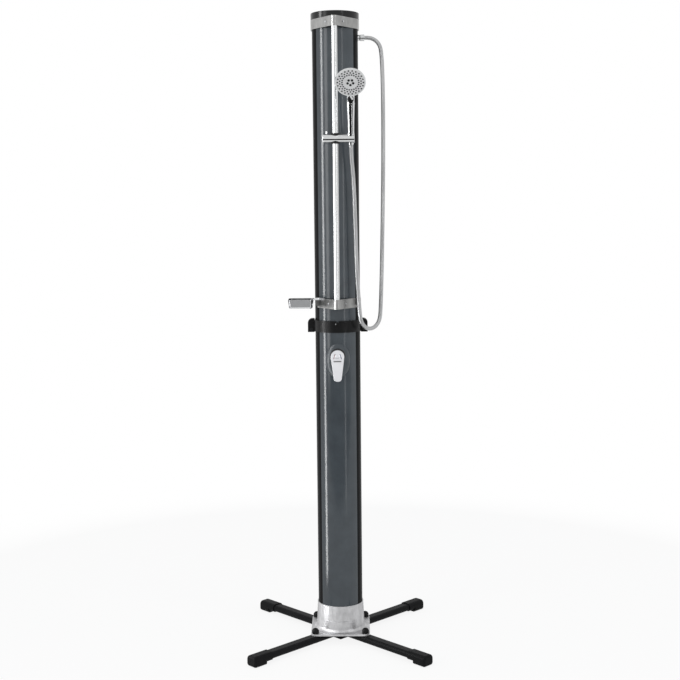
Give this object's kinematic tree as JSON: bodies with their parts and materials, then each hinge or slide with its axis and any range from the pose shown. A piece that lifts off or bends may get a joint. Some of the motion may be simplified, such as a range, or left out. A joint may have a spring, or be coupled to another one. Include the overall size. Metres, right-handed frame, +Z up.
{
  "type": "outdoor shower post",
  "caption": "Free-standing outdoor shower column on a crossed floor stand, with a hand shower on a rail, a single-lever mixer, a soap dish and a looped hose.",
  "frame": {"origin": "on the floor, at the axis of the round column, midway between the four feet", "axes": "+Z up, +X to the right and -Y to the front, as the rail and the lever are seen"},
  "size_m": [0.6226, 0.6226, 2.18],
  "materials": {
    "black_plastic": "satin black moulded plastic",
    "tank_black": "glossy black tank tube",
    "panel_grey": "glossy grey-blue panel",
    "leg_paint": "matt dark grey powder coat",
    "foot_plastic": "dark grey moulded plastic",
    "cast_aluminium": "satin cast aluminium",
    "zinc_steel": "zinc-plated steel",
    "black_steel": "blackened steel",
    "brushed_band": "horizontally brushed stainless steel",
    "chrome": "bright chrome",
    "inner_plastic": "grey moulded plastic",
    "seal_rubber": "black rubber",
    "bush_plastic": "black acetal",
    "face_plastic": "light satin spray plate",
    "nozzle_rubber": "black rubber",
    "hose_metal": "satin metal hose",
    "brass": "machined brass",
    "escutcheon_grey": "grey moulded plastic",
    "mark_enamel": "red and blue enamel lines",
    "pipe_copper": "drawn steel pipe"
  },
  "bodies": {
    "post": {"leg_bar_left": "leg_paint", "leg_bar_right": "leg_paint", "foot_caps": "foot_plastic", "cross_plate": "leg_paint", "base_casting": "cast_aluminium", "base_bolts": "zinc_steel", "base_nuts": "zinc_steel", "bolt_covers": "black_plastic", "tank_lower": "tank_black", "tank_upper": "tank_black", "front_panel_lower": "panel_grey", "front_panel_upper": "panel_grey", "tank_coupler": "inner_plastic", "tank_seals": "seal_rubber", "tank_bottom_plug": "inner_plastic", "top_cap": "black_plastic", "collar_front": "black_plastic", "collar_rear": "black_plastic", "collar_bolts": "black_steel", "collar_nuts": "black_steel", "collar_screw": "zinc_steel", "rail": "chrome", "rail_plugs": "black_plastic", "band_upper": "brushed_band", "band_lower": "brushed_band", "band_screws": "zinc_steel", "rail_blocks": "black_plastic", "outlet_pipe": "chrome", "hose_gasket": "seal_rubber", "hose_nut": "chrome", "shower_hose": "hose_metal", "mixer_body": "brass", "mixer_cartridge": "inner_plastic", "mixer_bonnet": "chrome", "escutcheon": "escutcheon_grey", "cold_pipe": "pipe_copper", "hot_pipe": "pipe_copper", "mixed_pipe": "pipe_copper", "inlet_tee": "brass", "inlet_connector": "brass"},
    "bush": {"slider_bush": "bush_plastic"},
    "slider": {"slider_body": "chrome", "lock_pawl": "bush_plastic", "holder_screw": "zinc_steel"},
    "button": {"lock_button": "chrome"},
    "cradle": {"holder": "chrome"},
    "handset": {"cone_nut": "chrome", "cone_seal": "seal_rubber", "handset_body": "chrome", "neck_ring": "chrome", "neck_inlay": "black_plastic", "spray_plate": "face_plastic", "nozzle_mat": "nozzle_rubber", "spray_diverter": "inner_plastic"},
    "selector": {"selector_ring": "chrome"},
    "spindle": {"mixer_spindle": "brass", "pivot_pin": "zinc_steel"},
    "lever": {"mixer_lever": "chrome", "lever_marks": "mark_enamel"},
    "dish": {"soap_dish": "chrome"}
  },
  "joints": [
    {"name": "slider_slide", "type": "slide", "parent": "post", "child": "bush", "axis": [0, 0, 1], "range_m": [-0.43, 0.34], "deforming": ["shower_hose"]},
    {"name": "slider_swivel", "type": "hinge", "parent": "bush", "child": "slider", "pos_m": [0, -0.118, 1.756], "axis": [0, 0, 1], "range_deg": [-25, 25]},
    {"name": "button_press", "type": "slide", "parent": "slider", "child": "button", "axis": [0, 0, -1], "range_m": [0, 0.003], "stiffness_N_per_m": 600, "springref_m": -0.002},
    {"name": "holder_tilt", "type": "hinge", "parent": "slider", "child": "cradle", "pos_m": [0.03, -0.118, 1.756], "axis": [1, 0, 0], "range_deg": [-8, 40]},
    {"name": "handset_lift", "type": "slide", "parent": "cradle", "child": "handset", "axis": [0, -0.2756, 0.9613], "range_m": [0, 0.06]},
    {"name": "selector_turn", "type": "hinge", "parent": "handset", "child": "selector", "pos_m": [0.052, -0.20031, 1.93422], "axis": [0, -0.809, -0.5878], "range_deg": [-20, 20]},
    {"name": "mixer_turn", "type": "hinge", "parent": "post", "child": "spindle", "pos_m": [0, -0.106, 1.0215], "axis": [0, -1, 0], "range_deg": [-45, 45]},
    {"name": "lever_lift", "type": "hinge", "parent": "spindle", "child": "lever", "pos_m": [0, -0.106, 1.0215], "axis": [-1, 0, 0], "range_deg": [0, 25]},
    {"name": "dish_lift", "type": "slide", "parent": "post", "child": "dish", "axis": [0, 0, 1], "range_m": [0, 0.045]}
  ]
}
